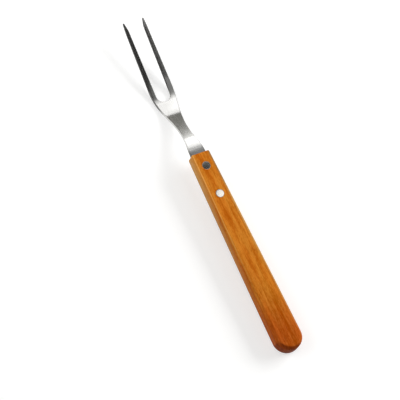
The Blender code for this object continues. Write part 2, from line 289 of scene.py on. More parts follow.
def blank_half_width(s):
    """Half the blank's width at sheet length s: each stretch eases into the next one."""
    corner = np.clip((TANG_START + TANG_CORNER - s) / TANG_CORNER, 0, 1)
    tang = TANG_HALF_WIDTH - TANG_CORNER * (1 - np.sqrt(1 - corner**2))
    root = TINE_MIDDLE + ROOT_TINE_WIDTH / 2
    point = TINE_MIDDLE + TIP_TINE_WIDTH / 2
    shoulder_share = np.clip((s - HANDLE_LENGTH) / FIT_GAP, 0, 1)
    shoulder = (ENTRY_HALF_WIDTH - TANG_HALF_WIDTH) * shoulder_share
    waist_share = (s - HANDLE_LENGTH - FIT_GAP) / (WAIST_START - HANDLE_LENGTH - FIT_GAP)
    waist = (WAIST_HALF_WIDTH - ENTRY_HALF_WIDTH) * eased(waist_share)
    flare = (root - WAIST_HALF_WIDTH) * eased((s - WAIST_END) / (ROOT_START - WAIST_END))
    taper = (point - root) * np.clip((s - ROOT_START) / (POINT_START - ROOT_START), 0, 1)
    return tang + shoulder + waist + flare + taper


def side_normals(edge, side):
    """Unit vectors across a line of plan points: its direction turned a quarter to one side."""
    direction = np.gradient(edge, axis=0)
    across = side * np.stack([-direction[:, 1], direction[:, 0]], axis=1)
    return across / np.linalg.norm(across, axis=1, keepdims=True)


def ground_from_below(s, height):
    """Heights after grinding: below the sheet's middle they shrink to the point by a square law."""
    share = np.clip((s - POINT_END + GRIND_LENGTH) / GRIND_LENGTH, 0, 1)
    taken = 2 * (1 - POINT_THICKNESS / SHEET_THICKNESS) * share**2
    return np.where(height < 0, height * (1 - taken), height)


# %% [markdown]
# One half of the neck is a plain sweep of the half section. A tine has two edges of its
# own, so its section is a closed loop between an inner line, which starts round the slot,
# and an outer line. Both lines run to the very front of the rounded point, where the loop
# closes on itself.

# %% Grids of the flat blank
NECK_STATIONS = 150
TANG_STATIONS = 14
SLOT_STATIONS = 26
TINE_STATIONS = 90
BEVEL_STATIONS = 14
NOSE_STATIONS = 10
NOSE_INNER_TURN = math.radians(-75)
NOSE_OUTER_TURN = math.radians(80)


def sheet_top(s):
    """Height of the flat sheet's upper face over its middle."""
    return SHEET_THICKNESS / 2 + 0 * s


def line(start, end, count):
    """Evenly spaced plan points from start to end, without the last one."""
    return np.linspace(start, end, count, endpoint=False)


def on_circle(centre, radius, angles):
    """Plan points on a circle at the given angles."""
    return np.asarray(centre) + radius * np.stack([np.cos(angles), np.sin(angles)], axis=1)


def neck_grid():
    """Left half of tang and neck: the half section carried from the tang's end to the slot."""
    turn = np.linspace(0, math.pi / 2, TANG_STATIONS, endpoint=False)
    tang_end = TANG_START + TANG_CORNER * (1 - np.cos(turn))
    shoulder = HANDLE_LENGTH + FIT_GAP * np.array([0, 0.5, 1, 1.5])
    tang = np.linspace(TANG_START + TANG_CORNER, HANDLE_LENGTH, TANG_STATIONS, endpoint=False)
    neck = np.linspace(shoulder[-1], SLOT_BOTTOM - SHEET_EDGE_RADIUS, NECK_STATIONS)[1:]
    s = np.concatenate([tang_end, tang, shoulder, neck])
    edge = np.stack([s, blank_half_width(s)], axis=1)
    spine = np.stack([s, 0 * s], axis=1)
    radius = np.full(len(s), SHEET_EDGE_RADIUS)
    return half_section(spine, edge, side_normals(edge, 1), radius, sheet_top)


# %% Tines of the flat blank
def tine_lines():
    """Inner and outer edge of the left tine, station by station, ending at the same point."""
    around = np.linspace(math.pi, math.pi / 2, SLOT_STATIONS, endpoint=False)
    slot = on_circle((SLOT_CENTRE, 0), SLOT_RADIUS, around)
    inner_bevel = np.array([POINT_START, TINE_MIDDLE - TIP_TINE_WIDTH / 2])
    outer_bevel = np.array([POINT_START, TINE_MIDDLE + TIP_TINE_WIDTH / 2])
    nose = np.array([POINT_END - POINT_RADIUS, TINE_MIDDLE + POINT_OUTWARD])
    inner_nose = on_circle(nose, POINT_RADIUS, np.linspace(NOSE_INNER_TURN, 0, NOSE_STATIONS))
    outer_nose = on_circle(nose, POINT_RADIUS, np.linspace(NOSE_OUTER_TURN, 0, NOSE_STATIONS))
    root_s = SLOT_BOTTOM - SHEET_EDGE_RADIUS
    share = (slot[:, 0] - SLOT_BOTTOM) / SLOT_RADIUS
    s = np.concatenate([
        root_s + (SLOT_CENTRE - root_s) * share,
        np.linspace(SLOT_CENTRE, POINT_START, TINE_STATIONS, endpoint=False),
    ])
    outer_side = np.stack([s, blank_half_width(s)], axis=1)
    inner_side = line((SLOT_CENTRE, SLOT_RADIUS), inner_bevel, TINE_STATIONS)
    inner = [slot, inner_side, line(inner_bevel, inner_nose[0], BEVEL_STATIONS), inner_nose]
    outer = [outer_side, line(outer_bevel, outer_nose[0], BEVEL_STATIONS), outer_nose]
    return np.concatenate(inner), np.concatenate(outer)


def tine_grid():
    """Left tine: a closed loop of two rounded edges and two flats at every station."""
    inner, outer = tine_lines()
    inner_normal = side_normals(inner, -1)
    outer_normal = side_normals(outer, 1)
    inner_normal[[0, -1]] = (1, 0)
    outer_normal[-1] = (1, 0)
    radius = np.full(len(inner), SHEET_EDGE_RADIUS)
    inner_edge = edge_points(inner, inner_normal, radius, sheet_top)
    outer_edge = edge_points(outer, outer_normal, radius, sheet_top)
    flat = flat_points(inner_edge[:, 0, :2], outer_edge[:, 0, :2], sheet_top)
    loop = both_faces(np.concatenate([inner_edge[:, ::-1], flat[:, 1:-1], outer_edge], axis=1))
    return np.concatenate([loop, loop[:, :1]], axis=1)


def end_cap(section):
    """Close one open section by joining each upper point to the lower one beneath it."""
    half = len(section) // 2
    return np.stack([section[:half], section[: half - 1 : -1]], axis=1)


# %% [markdown]
# Bending a sheet keeps its length. A point that is s along the blank goes s along the
# bent path, and its height stays square to the sheet. The path is level at the handle,
# turns down through a wide arc, runs straight, and turns up through the heel into the
# tines, so its slope is the integral of two constant curvatures. Before the bend the points
# are ground thinner from below, which keeps their upper faces in line with the tines.


# %% Bend the blank
def bent(flat):
    """Grind the points, then carry the blank onto the bent path: along it by s, square by height."""
    s, y, height = np.moveaxis(flat, -1, 0)
    height = ground_from_below(s, height)
    neck_turn = np.clip(s - NECK_BEND_START, 0, NECK_BEND_END - NECK_BEND_START) / NECK_RADIUS
    heel_turn = np.clip(s - HEEL_START, 0, HEEL_END - HEEL_START) / HEEL_RADIUS
    slope = heel_turn - neck_turn
    neck_run = np.clip(s - NECK_BEND_END, 0, NECK_STRAIGHT)
    tine_run = np.maximum(s - HEEL_END, 0)
    heel = s > HEEL_START
    x = np.minimum(s, NECK_BEND_START) + NECK_RADIUS * np.sin(neck_turn)
    x += neck_run * math.cos(NECK_ANGLE) + tine_run * math.cos(TINE_ANGLE)
    x += heel * HEEL_RADIUS * (np.sin(slope) + math.sin(NECK_ANGLE))
    z = NECK_RADIUS * (np.cos(neck_turn) - 1)
    z += tine_run * math.sin(TINE_ANGLE) - neck_run * math.sin(NECK_ANGLE)
    z += heel * HEEL_RADIUS * (math.cos(NECK_ANGLE) - np.cos(slope))
    return np.stack([x - height * np.sin(slope), y, z + height * np.cos(slope)], axis=-1)


# %% Make the blade
EDGE_FADE = 0.12

neck = neck_grid()
tine = tine_grid()
cap = end_cap(neck[0])
wall = np.cos(ROUND_ANGLES)
neck_edges = edge_columns(np.concatenate([np.zeros(FLATS - 2), [EDGE_FADE], wall]), len(neck))
tine_edges = edge_columns(np.concatenate([wall[::-1], np.zeros(FLATS - 2), wall]), len(tine))
tine_edges = np.append(tine_edges, tine_edges[:, :1], axis=1)
blade_edges = [neck_edges, tine_edges, np.ones(cap.shape[:2])]
blade = mesh_piece("steel_blade", mirrored([bent(neck), bent(tine), bent(cap)]), 2 * blade_edges)
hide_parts("fork_blade")

# %% [markdown]
# The handle is one stick of wood: straight tapering sides that run off a round butt, long
# edges softened more and more towards the butt, and a mortise in the front end for the
# tang. One half of its outline is walked from the butt's end, round the arc, along the
# side, over the rounded front edge, across the front face, and into the mortise. Every
# step of that walk is a station of the same half section.

# %% Stations of the handle
MORTISE_HALF_WIDTH = TANG_HALF_WIDTH + FIT_GAP
MORTISE_HALF_HEIGHT = SHEET_THICKNESS / 2 + FIT_GAP
MORTISE_END = TANG_START - FIT_GAP
SOLID_HEAD_RADIUS = 0.0035
HEAD_THICKNESS = 0.0016
SEAT_RADIUS = SOLID_HEAD_RADIUS + FIT_GAP
SEAT_DEPTH = HEAD_THICKNESS + FIT_GAP
SEAT_PATCH = 0.0052
BUTT_STATIONS = 48
FRONT_ROUND_STATIONS = 6
FACE_SHARES = np.array([0.1, 0.5, 0.95, 1.0])
SIDE_STEP = 0.0016

rivet_x = {place: to_fork(rivet_middle(place))[0] for place in ("front", "rear")}
side_reach = HANDLE_LENGTH - BUTT_RADIUS
side_lean = math.asin(BUTT_RADIUS / math.hypot(side_reach, FRONT_HALF_WIDTH))
side_lean -= math.atan2(FRONT_HALF_WIDTH, side_reach)
side_normal = np.array([math.sin(side_lean), math.cos(side_lean)])
side_start = np.array([BUTT_RADIUS, 0]) + BUTT_RADIUS * side_normal


def side_edge(x):
    """Plan point of the handle's straight side at x."""
    return np.stack([x, side_start[1] - (x - side_start[0]) * math.tan(side_lean)], axis=1)


def side_stations():
    """Places along the side, with one exactly at each end of every rivet's patch."""
    stops = [side_start[0]]
    for place in ("rear", "front"):
        stops += [rivet_x[place] - SEAT_PATCH, rivet_x[place] + SEAT_PATCH]
    stops.append(HANDLE_LENGTH - FRONT_EDGE_RADIUS)
    spans = [np.linspace(a, b, max(2, round((b - a) / SIDE_STEP)), endpoint=False)
             for a, b in zip(stops[:-1], stops[1:])]
    return np.concatenate(spans + [stops[-1:]])


# %% Grid of half the handle
def butt_rows():
    """Fan of half sections about the centre of the round butt."""
    turn = np.linspace(0, math.pi / 2 + side_lean, BUTT_STATIONS, endpoint=False)
    normal = np.stack([-np.cos(turn), np.sin(turn)], axis=1)
    spine = np.tile([BUTT_RADIUS, 0.0], (BUTT_STATIONS, 1))
    edge = spine + BUTT_RADIUS * normal
    return half_section(spine, edge, normal, handle_edge_radius(edge[:, 0]), handle_half_thickness)


def side_rows(x):
    """Half sections along the straight side."""
    edge = side_edge(x)
    share = (x - x[0]) / (x[-1] - x[0])
    spine = np.stack([x - (side_start[0] - BUTT_RADIUS) * (1 - share), 0 * x], axis=1)
    normal = np.tile(side_normal, (len(x), 1))
    return half_section(spine, edge, normal, handle_edge_radius(x), handle_half_thickness)


def front_row(x, shrink, half_width, half_height):
    """One half section near the front end, with its rounding shrunk to nothing at the face."""
    edge = np.array([[x, half_width]])
    radius = np.array([FRONT_EDGE_RADIUS - shrink])
    return half_section(edge * (1, 0), edge, np.array([side_normal]), radius, lambda _: half_height)


def front_rows():
    """Rounded front edge, front face with the mouth of the mortise, and the mortise itself."""
    rows = []
    for turn in np.linspace(0, math.pi / 2, FRONT_ROUND_STATIONS + 1)[1:]:
        shrink = FRONT_EDGE_RADIUS * (1 - math.cos(turn))
        x = HANDLE_LENGTH - FRONT_EDGE_RADIUS * (1 - math.sin(turn))
        half_width = side_edge(np.array([x]))[0, 1] - shrink
        rows.append(front_row(x, shrink, half_width, handle_half_thickness(x) - shrink))
    face_width = half_width
    face_height = handle_half_thickness(HANDLE_LENGTH) - FRONT_EDGE_RADIUS
    for share in FACE_SHARES:
        half_width = face_width + (MORTISE_HALF_WIDTH - face_width) * share
        half_height = face_height + (MORTISE_HALF_HEIGHT - face_height) * share
        rows.append(front_row(HANDLE_LENGTH, FRONT_EDGE_RADIUS, half_width, half_height))
    for size in (1, 0):
        half_width, half_height = size * MORTISE_HALF_WIDTH, size * MORTISE_HALF_HEIGHT
        rows.append(front_row(MORTISE_END, FRONT_EDGE_RADIUS, half_width, half_height))
    return np.concatenate(rows)


stations = side_stations()
half_handle = np.concatenate([butt_rows(), side_rows(stations), front_rows()])
print("handle grid", half_handle.shape[:2])

# %% [markdown]
# Each rivet head sits in a round seat in the flat face. A flat face with a round hole is a
# grid too: one parameter goes round the hole, and the other runs from its rim out to the
# border of the patch that was left open in the handle's grid. The wall and the floor of
# the seat go on from the same rim.

# %% Round seats for the rivet heads
PATCH_SHARES = np.array([0, 0.08, 0.3, 0.6, 1.0])


def seat_block(place):
    """First and last row of the handle's grid that border the patch of one rivet."""
    x = rivet_x[place]
    rows = np.searchsorted(stations, np.array([x - SEAT_PATCH, x + SEAT_PATCH]) - WELD_DISTANCE)
    return rows + BUTT_STATIONS


def seat_grids(place):
    """Half a patch with a round hole, and the seat below it, on the upper and the lower face."""
    first, last = seat_block(place)
    border = np.concatenate([
        half_handle[first, :FLATS],
        half_handle[first + 1 : last, FLATS - 1],
        half_handle[last, FLATS - 1 :: -1],
    ])
    centre = np.array([rivet_x[place], 0.0])
    angle = np.arctan2(border[:, 1], border[:, 0] - centre[0])
    rim_plan = on_circle(centre, SEAT_RADIUS, angle)
    rim = np.concatenate([rim_plan, handle_half_thickness(rim_plan[:, :1])], axis=1)
    patch = rim + (border - rim) * PATCH_SHARES[:, None, None]
    floor = rim - (0, 0, SEAT_DEPTH)
    middle = np.tile(np.append(centre, floor[:, 2].mean()), (len(rim), 1))
    upper = [patch, np.stack([rim, floor, middle])]
    return upper + [grid * (1, 1, -1) for grid in upper]


# %% Make the handle
half_grids = [half_handle]
for place in rivet_x:
    half_grids += seat_grids(place)
open_patches = []
columns = half_handle.shape[1] - 1
for place in rivet_x:
    first, last = seat_block(place)
    for number in (0, len(half_grids)):
        open_patches.append((number, slice(first, last), slice(0, FLATS - 1)))
        open_patches.append((number, slice(first, last), slice(columns - FLATS + 1, columns)))
handle = mesh_piece("wood_handle", mirrored(half_grids), holes=open_patches)
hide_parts("wooden_handle")

# %% [markdown]
# A two-part rivet is turned on a lathe: a post with a head, and a tube with a head. The
# surface is a profile of radius and height carried round the rivet's axis. Each head ends
# almost level with the wood and is very slightly crowned, as a head is after polishing. It
# fills most of the gap that the solids keep round it, so it looks as tight as a real one.

# %% Turn the rivets
GAP_FILLED = 0.7
HEAD_RADIUS = SOLID_HEAD_RADIUS + GAP_FILLED * FIT_GAP
HEAD_EDGE = 0.00008
HEAD_CROWN = 0.00001
TUBE_RADIUS = 0.0022
POST_RADIUS = 0.0012
RIM_START = 0.0034
TURN_STEPS = 96
CROWN_SHARES = np.linspace(0, 1, 8)


def head_profile(top):
    """Crowned face from the axis to the rim, then a quarter-round edge: (radius, height) rows."""
    face = HEAD_RADIUS - HEAD_EDGE
    crown = np.stack([face * CROWN_SHARES, top - HEAD_CROWN * CROWN_SHARES**2], axis=1)
    centre = (face, top - HEAD_CROWN - HEAD_EDGE)
    edge = on_circle(centre, HEAD_EDGE, np.linspace(math.pi / 2, 0, 6)[1:])
    return np.concatenate([crown, edge])


def turned(name, profile, x, side):
    """Carry a profile of (radius, height) round the rivet at x; side -1 turns it upside down."""
    angle = np.linspace(0, math.tau, TURN_STEPS + 1)
    radius, height = profile[:, :1], profile[:, 1:]
    across, along_y = radius * np.cos(angle), radius * np.sin(angle)
    grid = np.stack([x + across, along_y, side * height + 0 * angle], axis=-1)
    rim = np.clip((radius - RIM_START) / (HEAD_RADIUS - RIM_START), 0, 1)
    return mesh_piece(name, [grid], [rim + 0 * angle])


# %% Make the rivets
rivets = {}
for place, x in rivet_x.items():
    top = handle_half_thickness(x)
    under = top - HEAD_THICKNESS
    bore = POST_RADIUS + FIT_GAP
    post_foot = FIT_GAP - under
    post = [(HEAD_RADIUS, under), (POST_RADIUS, under), (POST_RADIUS, post_foot), (0, post_foot)]
    tube = [(HEAD_RADIUS, under), (TUBE_RADIUS, under), (TUBE_RADIUS, post_foot)]
    tube += [(bore, post_foot), (bore, under), (0, under)]
    rivets[place + "_post"] = turned(place + "_post", np.concatenate([head_profile(top), post]), x, 1)
    rivets[place + "_tube"] = turned(place + "_tube", np.concatenate([head_profile(top), tube]), x, -1)
    for half in ("post", "tube"):
        piece = rivets[f"{place}_{half}"]
        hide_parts(f"{place}_rivet_{half}")

# %% [markdown]
# Materials are written as sums and products instead of wires. A small class holds one
# output socket of a node; adding or multiplying two of them adds a Math node, and one
# method adds any other kind of node. Colours are mixed with Mix nodes, because a Math node
# would turn them grey.


# %% Shader maths as Python
class Shade:
    """One output socket of a node tree; arithmetic on it adds Math nodes."""

    def __init__(self, tree, socket=None):
        self.tree = tree
        self.socket = socket

    def node(self, kind, settings=None, inputs=None, output=0):
        """Add a node: set its settings, then give its inputs values or links."""
        made = self.tree.nodes.new(kind)
        for name, setting in (settings or {}).items():
            if name == "stops":
                self.set_stops(made.color_ramp, setting)
            else:
                setattr(made, name, setting)
        for name, given in (inputs or {}).items():
            if isinstance(given, Shade):
                self.tree.links.new(given.socket, made.inputs[name])
            else:
                made.inputs[name].default_value = given
        return Shade(self.tree, made.outputs[output])

    @staticmethod
    def set_stops(ramp, stops):
        """Give a colour ramp its stops: (place, colour) pairs."""
        while len(ramp.elements) < len(stops):
            ramp.elements.new(1.0)
        for element, (place, colour) in zip(ramp.elements, stops):
            element.position = place
            element.color = (*colour, 1.0)

    def math(self, operation, first, second=0.0):
        """One Math node on two values or links."""
        return self.node("ShaderNodeMath", {"operation": operation}, {0: first, 1: second})

    def __add__(self, other):
        return self.math("ADD", self, other)

    def __radd__(self, other):
        return self.math("ADD", other, self)

    def __sub__(self, other):
        return self.math("SUBTRACT", self, other)

    def __rsub__(self, other):
        return self.math("SUBTRACT", other, self)

    def __mul__(self, other):
        return self.math("MULTIPLY", self, other)

    def __rmul__(self, other):
        return self.math("MULTIPLY", other, self)

    def step(self, low, high):
        """0 below low, 1 above high, and a smooth rise between them."""
        inputs = {"Value": self, "From Min": low, "From Max": high}
        return self.node("ShaderNodeMapRange", {"interpolation_type": "SMOOTHSTEP"}, inputs)

    def mix(self, first, second):
        """Colour between first and second, with this value as the share of the second."""
        return self.node("ShaderNodeMix", {"data_type": "RGBA"}, {0: self, 6: first, 7: second}, 2)

    def tint(self, colour, tinge):
        """Colour multiplied by tinge, with this value as the strength of the tint."""
        settings = {"data_type": "RGBA", "blend_type": "MULTIPLY"}
        return self.node("ShaderNodeMix", settings, {0: self, 6: colour, 7: tinge}, 2)

    def moved(self, offset):
        """This vector plus an offset."""
        return self.node("ShaderNodeVectorMath", {"operation": "ADD"}, {0: self, 1: offset})

    def scaled(self, factors):
        """This vector with its three parts multiplied by factors."""
        return self.node("ShaderNodeVectorMath", {"operation": "MULTIPLY"}, {0: self, 1: factors})

    def noise(self, detail=2.0, roughness=0.5, distortion=0.0):
        """Noise around 0.5, read at this vector."""
        inputs = {"Vector": self, "Scale": 1.0, "Detail": detail, "Roughness": roughness}
        return self.node("ShaderNodeTexNoise", None, {**inputs, "Distortion": distortion}, "Fac")

    def part(self, axis):
        """One part of this vector."""
        return self.node("ShaderNodeSeparateXYZ", None, {0: self}, axis)


# %% Start a material
def new_material(name):
    """A material with nodes, its Principled shader, and the place to start expressions from."""
    material = bpy.data.materials.new(name)
    material.use_nodes = True
    return material, material.node_tree.nodes["Principled BSDF"], Shade(material.node_tree)


def feed(shader, **inputs):
    """Link expressions to sockets of a shader, or set plain values on them."""
    for name, given in inputs.items():
        socket = shader.inputs[name.replace("_", " ")]
        if isinstance(given, Shade):
            given.tree.links.new(given.socket, socket)
        else:
            socket.default_value = given


def fork_coordinates(start):
    """Object coordinates turned and moved into the fork's own axes."""
    inputs = {"Vector": start.node("ShaderNodeTexCoord", output="Object")}
    inputs["Location"] = tuple(-fork_axes @ butt)
    inputs["Rotation"] = (0.0, pitch, 0.0)
    return start.node("ShaderNodeMapping", {"vector_type": "POINT"}, inputs)


# %% [markdown]
# The wood is an orange-brown hardwood under a thin oil finish. Its grain is long and
# narrow, so every noise is read at coordinates that are stretched along the handle: broad
# bands, streaks, flecks, fibres, short specks and sparse open pores. They sway together,
# as the grain of one stick does. A flat picture of wood could be wrapped round the handle,
# but noise in space runs on over the edges, as real grain does.

# %% Grain of the wood
WOOD_DARK = (0.440, 0.111, 0.002, 1.0)
WOOD_LIGHT = (0.655, 0.239, 0.027, 1.0)
BLUSH_TINT = (1.0, 0.86, 0.68, 1.0)

# Noise steps per metre along, across and through the handle
SWAY_SCALE = (14, 30, 30)
BAND_SCALE = (6, 210, 170)
STREAK_SCALE = (34, 640, 520)
FLECK_SCALE = (64, 1000, 800)
FIBRE_SCALE = (120, 1900, 1700)
SPECK_SCALE = (420, 900, 800)
PORE_SCALE = (140, 2700, 2700)
BLUSH_SCALE = (26, 170, 150)
SWAY_WIDTH = 0.0025


def wood_grain(start, place):
    """Colour of plain grain, a weighted sum of noises, with its streaks, fibres and pores."""
    sway = (place.scaled(SWAY_SCALE).noise(detail=1.0) - 0.5) * SWAY_WIDTH
    swayed = place.moved(start.node("ShaderNodeCombineXYZ", None, {"Y": sway, "Z": sway}))
    bands = swayed.scaled(BAND_SCALE).noise(detail=2.0)
    streaks = swayed.scaled(STREAK_SCALE).noise(detail=3.0, roughness=0.6)
    flecks = swayed.scaled(FLECK_SCALE).noise(detail=2.0, roughness=0.6)
    fibres = swayed.scaled(FIBRE_SCALE).noise(detail=2.0)
    specks = swayed.scaled(SPECK_SCALE).noise(detail=2.0, roughness=0.6)
    pores = swayed.scaled(PORE_SCALE).noise(detail=1.0).step(0.64, 0.74)
    figure = bands * 0.29 + streaks * 0.27 + flecks * 0.16 + fibres * 0.06 + specks * 0.22
    tone = figure.step(0.40, 0.60).mix(WOOD_DARK, WOOD_LIGHT)
    blush = swayed.scaled(BLUSH_SCALE).noise(detail=2.0).step(0.38, 0.62)
    return blush.tint(tone, BLUSH_TINT), streaks, fibres, pores


print("grain steps along and across the handle", STREAK_SCALE[:2])

# %% [markdown]
# A handle is not one colour, and light and shade are painted into this one. A pale line
# just inside its long edges is a painted highlight. The right border is pale for most of
# its length where its rounding faces up, and painted shade darkens it near the blade. The
# sides are painted paler towards the front as their sheen, paler downwards as the white
# floor's light, and darker with painted shade under the left edge. Each mark is a product
# of soft steps: so far in from the outline, so far along, so high up, or facing so far
# upwards.

# %% Painted light and shade on the edges of the wood
# Painted highlight: a pale line just inside the long edges
ARRIS_HIGHLIGHT = (0.780, 0.370, 0.090, 1.0)
# Painted sheen: the sides paler towards the front
SIDE_SHEEN = (0.760, 0.360, 0.085, 1.0)
# Right border: pale where its rounding faces up, and painted shade near the blade
PALE_BORDER = (0.450, 0.310, 0.100, 1.0)
SHADED_BORDER = (0.100, 0.060, 0.018, 1.0)
# Painted floor light: the sides paler towards the bottom
FLOOR_LIGHT_TONE = (0.620, 0.350, 0.115, 1.0)
# Painted shade on the left side just under its upper edge
UNDER_EDGE_SHADE = (0.92, 0.80, 0.66, 1.0)
BORDER_STRENGTH = 0.7
PALE_STRENGTH = 0.7

# Where each soft step starts and ends, in metres: inset from the outline, reach from the
# butt, offset to one side, and height over the middle. Facing is a part of the normal.
SHEEN_INSET, SHEEN_REACH, SHEEN_HEIGHT = (0.0002, 0.0008), (0.120, 0.185), (0.0030, 0.0056)
HIGHLIGHT_OUTER, HIGHLIGHT_INNER, HIGHLIGHT_REACH = (0.0003, 0.0010), (0.0010, 0.0020), (0.030, 0.170)
BORDER_INSET, BORDER_OFFSET, BORDER_REACH = (0.0004, 0.0030), (0.0, 0.004), (0.004, 0.024)
BORDER_FACING, DARK_REACH = (0.15, 0.40), (0.138, 0.165)
DUSK_INSET, DUSK_OFFSET, DUSK_HEIGHT = (0.0002, 0.0007), (0.0, 0.004), (0.0005, 0.0040)
DUSK_START, DUSK_STOP = (0.040, 0.090), (0.130, 0.165)
PALE_INSET, PALE_REACH, PALE_HEIGHT = (0.0, 0.0006), (0.020, 0.140), (-0.0050, 0.0045)


def edge_light_and_shade(start, place, normal, tone, streaks):
    """Lay painted light over plain grain: side sheen, edge highlight, the right border and its shade,
    shade under the left edge, and floor light low on the sides.
    """
    reach, offset, height = (place.part(axis) for axis in "XYZ")
    half_width = BUTT_RADIUS - (reach - side_start[0]) * math.tan(side_lean)
    inset = half_width - start.math("ABSOLUTE", offset)
    # Painted sheen: the sides paler towards the front, more so low down, along the streaks
    side_sheen = (1 - inset.step(*SHEEN_INSET)) * reach.step(*SHEEN_REACH)
    side_sheen = side_sheen * (0.55 + 0.45 * (1 - height.step(*SHEEN_HEIGHT)))
    tone = (side_sheen * streaks.step(0.1, 0.6)).mix(tone, SIDE_SHEEN)
    # Painted highlight: a pale line just inside the long edges, fading towards the butt
    arris_highlight = inset.step(*HIGHLIGHT_OUTER) * (1 - inset.step(*HIGHLIGHT_INNER)) * reach.step(*HIGHLIGHT_REACH)
    tone = (arris_highlight * streaks.step(0.1, 0.55)).mix(tone, ARRIS_HIGHLIGHT)
    # Right border: pale where its rounding faces up, and darkened with painted shade near the blade
    right_border = (1 - inset.step(*BORDER_INSET)) * (0 - offset).step(*BORDER_OFFSET)
    right_border = right_border * reach.step(*BORDER_REACH) * normal.part("Z").step(*BORDER_FACING)
    border = reach.step(*DARK_REACH).mix(PALE_BORDER, SHADED_BORDER)
    tone = (right_border * BORDER_STRENGTH).mix(tone, border)
    # Painted shade on the left side just under its upper edge
    edge_shade = (1 - inset.step(*DUSK_INSET)) * offset.step(*DUSK_OFFSET) * height.step(*DUSK_HEIGHT)
    tone = (edge_shade * reach.step(*DUSK_START) * (1 - reach.step(*DUSK_STOP))).tint(tone, UNDER_EDGE_SHADE)
    # Painted floor light: the sides paler towards the bottom
    pale = (1 - height.step(*PALE_HEIGHT)) * (1 - inset.step(*PALE_INSET)) * reach.step(*PALE_REACH)
    return (pale * PALE_STRENGTH).mix(tone, FLOOR_LIGHT_TONE)


# Where the painted highlight's line lies, inside the edge
print("worn line lies in mm", 1000 * HIGHLIGHT_OUTER[0], "to", 1000 * HIGHLIGHT_INNER[1], "inside the edge")

# %% [markdown]
# Towards the butt the wood is darker and redder, most of all on the left: partly its own
# tone, partly painted shade. Round its end the cut fibres stand on end and are darker
# still, and painted shade darkens the end most where it faces back and to the left, away
# from the light. The normal alone finds that place, without any drawn mask.

# %% Darker butt with painted shade, and the finished wood
# Partly the wood's own tone, partly painted shade: darker towards the butt and on its left
BUTT_TONE_AND_SHADE = (0.84, 0.61, 0.80, 1.0)
LEFT_TONE_AND_SHADE = (0.97, 0.92, 0.97, 1.0)
# End grain with painted shade: darker where the end faces away from the light
END_GRAIN_AND_SHADE = (0.46, 0.38, 0.55, 1.0)
PORE_TINT = (0.45, 0.38, 0.40, 1.0)
RING_SCALE = (150, 420, 420)
LEFT_OFFSET, LEFT_REACH, BUTT_REACH = (-0.002, 0.006), (0.06, 0.11), (0.012, 0.062)
END_FACING, END_WISE = (0.22, 0.46), (0.06, 0.24)
WOOD_SPECULAR = 0.04


def butt_tone_and_shade(place, normal, tone):
    """Tint the wood towards the butt, partly its tone and partly painted shade, and more on the end
    grain, with painted shade where it faces away from the light.
    """
    reach, offset = place.part("X"), place.part("Y")
    # Partly the wood's own tone, partly painted shade: darker on the left and towards the butt
    tone = (offset.step(*LEFT_OFFSET) * (1 - reach.step(*LEFT_REACH))).tint(tone, LEFT_TONE_AND_SHADE)
    tone = (1 - reach.step(*BUTT_REACH)).tint(tone, BUTT_TONE_AND_SHADE)
    # End grain with painted shade: darkest where the end faces back and to the left, away from the
    # light
    endwise = 0 - normal.part("X")
    facing = endwise * 0.85 + normal.part("Y") * 0.52
    rings = place.scaled(RING_SCALE).noise(detail=2.0).step(0.25, 0.65)
    end = facing.step(*END_FACING) * endwise.step(*END_WISE)
    return (end * (1 - 0.35 * rings)).tint(tone, END_GRAIN_AND_SHADE)


def oiled_wood():
    """Grain, painted light and shade on the edges and the butt, and pores in one colour, with a fine
    relief along the fibres.
    """
    material, shader, start = new_material("oiled_wood")
    place = fork_coordinates(start)
    normal = start.node("ShaderNodeNewGeometry", output="Normal")
    tone, streaks, fibres, pores = wood_grain(start, place)
    tone = edge_light_and_shade(start, place, normal, tone, streaks)
    tone = butt_tone_and_shade(place, normal, tone)
    tone = (pores * 0.6).tint(tone, PORE_TINT)
    relief = fibres * 0.6 + streaks * 0.3 - pores
    bump = start.node("ShaderNodeBump", None, {"Strength": 0.10, "Distance": 0.0003, "Height": relief})
    feed(shader, Base_Color=tone, Roughness=0.38 + 0.20 * fibres + 0.15 * pores, Normal=bump)
    shader.inputs["Specular IOR Level"].default_value = WOOD_SPECULAR
    print("oiled wood nodes", len(material.node_tree.nodes))
    return material


handle.data.materials.append(oiled_wood())

# %% [markdown]
# The blade is polished sheet with fine grinding lines along its length. A perfectly even
# metal looks like plastic film, so faint noises break it up: long hairlines, cloudy smears
# where it was wiped, and a few short scratches. The stamped edges were never polished and
# are matt. Their colour is painted light: a painted reflection keeps them bright along the
# left of the neck, painted shade dulls them on the right and at the wood, and a painted
# dark reflection darkens them along the tines and the heel's outer edges. The points'
# faces are darkened with painted shade, the left one more.

# %% Ground and polished steel
STEEL_LIGHT = (0.66, 0.655, 0.64, 1.0)
STEEL_DARK = (0.58, 0.575, 0.56, 1.0)
# Edge colours are painted light: a bright reflection, shade, and a dark reflection
BRIGHT_EDGE_REFLECTION = (0.78, 0.775, 0.76, 1.0)
SHADED_EDGE = (0.20, 0.197, 0.188, 1.0)
DARK_EDGE_REFLECTION = (0.035, 0.035, 0.033, 1.0)
# Painted shade on the faces of the points
TIP_SHADE_TINT = (0.25, 0.25, 0.245, 1.0)
HAIRLINE_SCALE = (25, 2600, 900)
SMEAR_SCALE = (60, 140, 140)
SCRATCH_SCALE = (420, 3800, 900)

# Where edges and points change, in metres from the butt, or to the side
NECK_REACH, HEEL_REACH, TINE_REACH = (0.190, 0.201), (0.234, 0.246), (0.250, 0.264)
TIP_REACH = (0.289, 0.319)
OUTER_OFFSET, MIDDLE_OFFSET = (0.0066, 0.0080), (-0.002, 0.002)
HEEL_SHARE, RIGHT_EDGE_SHARE, RIGHT_TIP_SHARE = 0.8, 0.35, 0.47


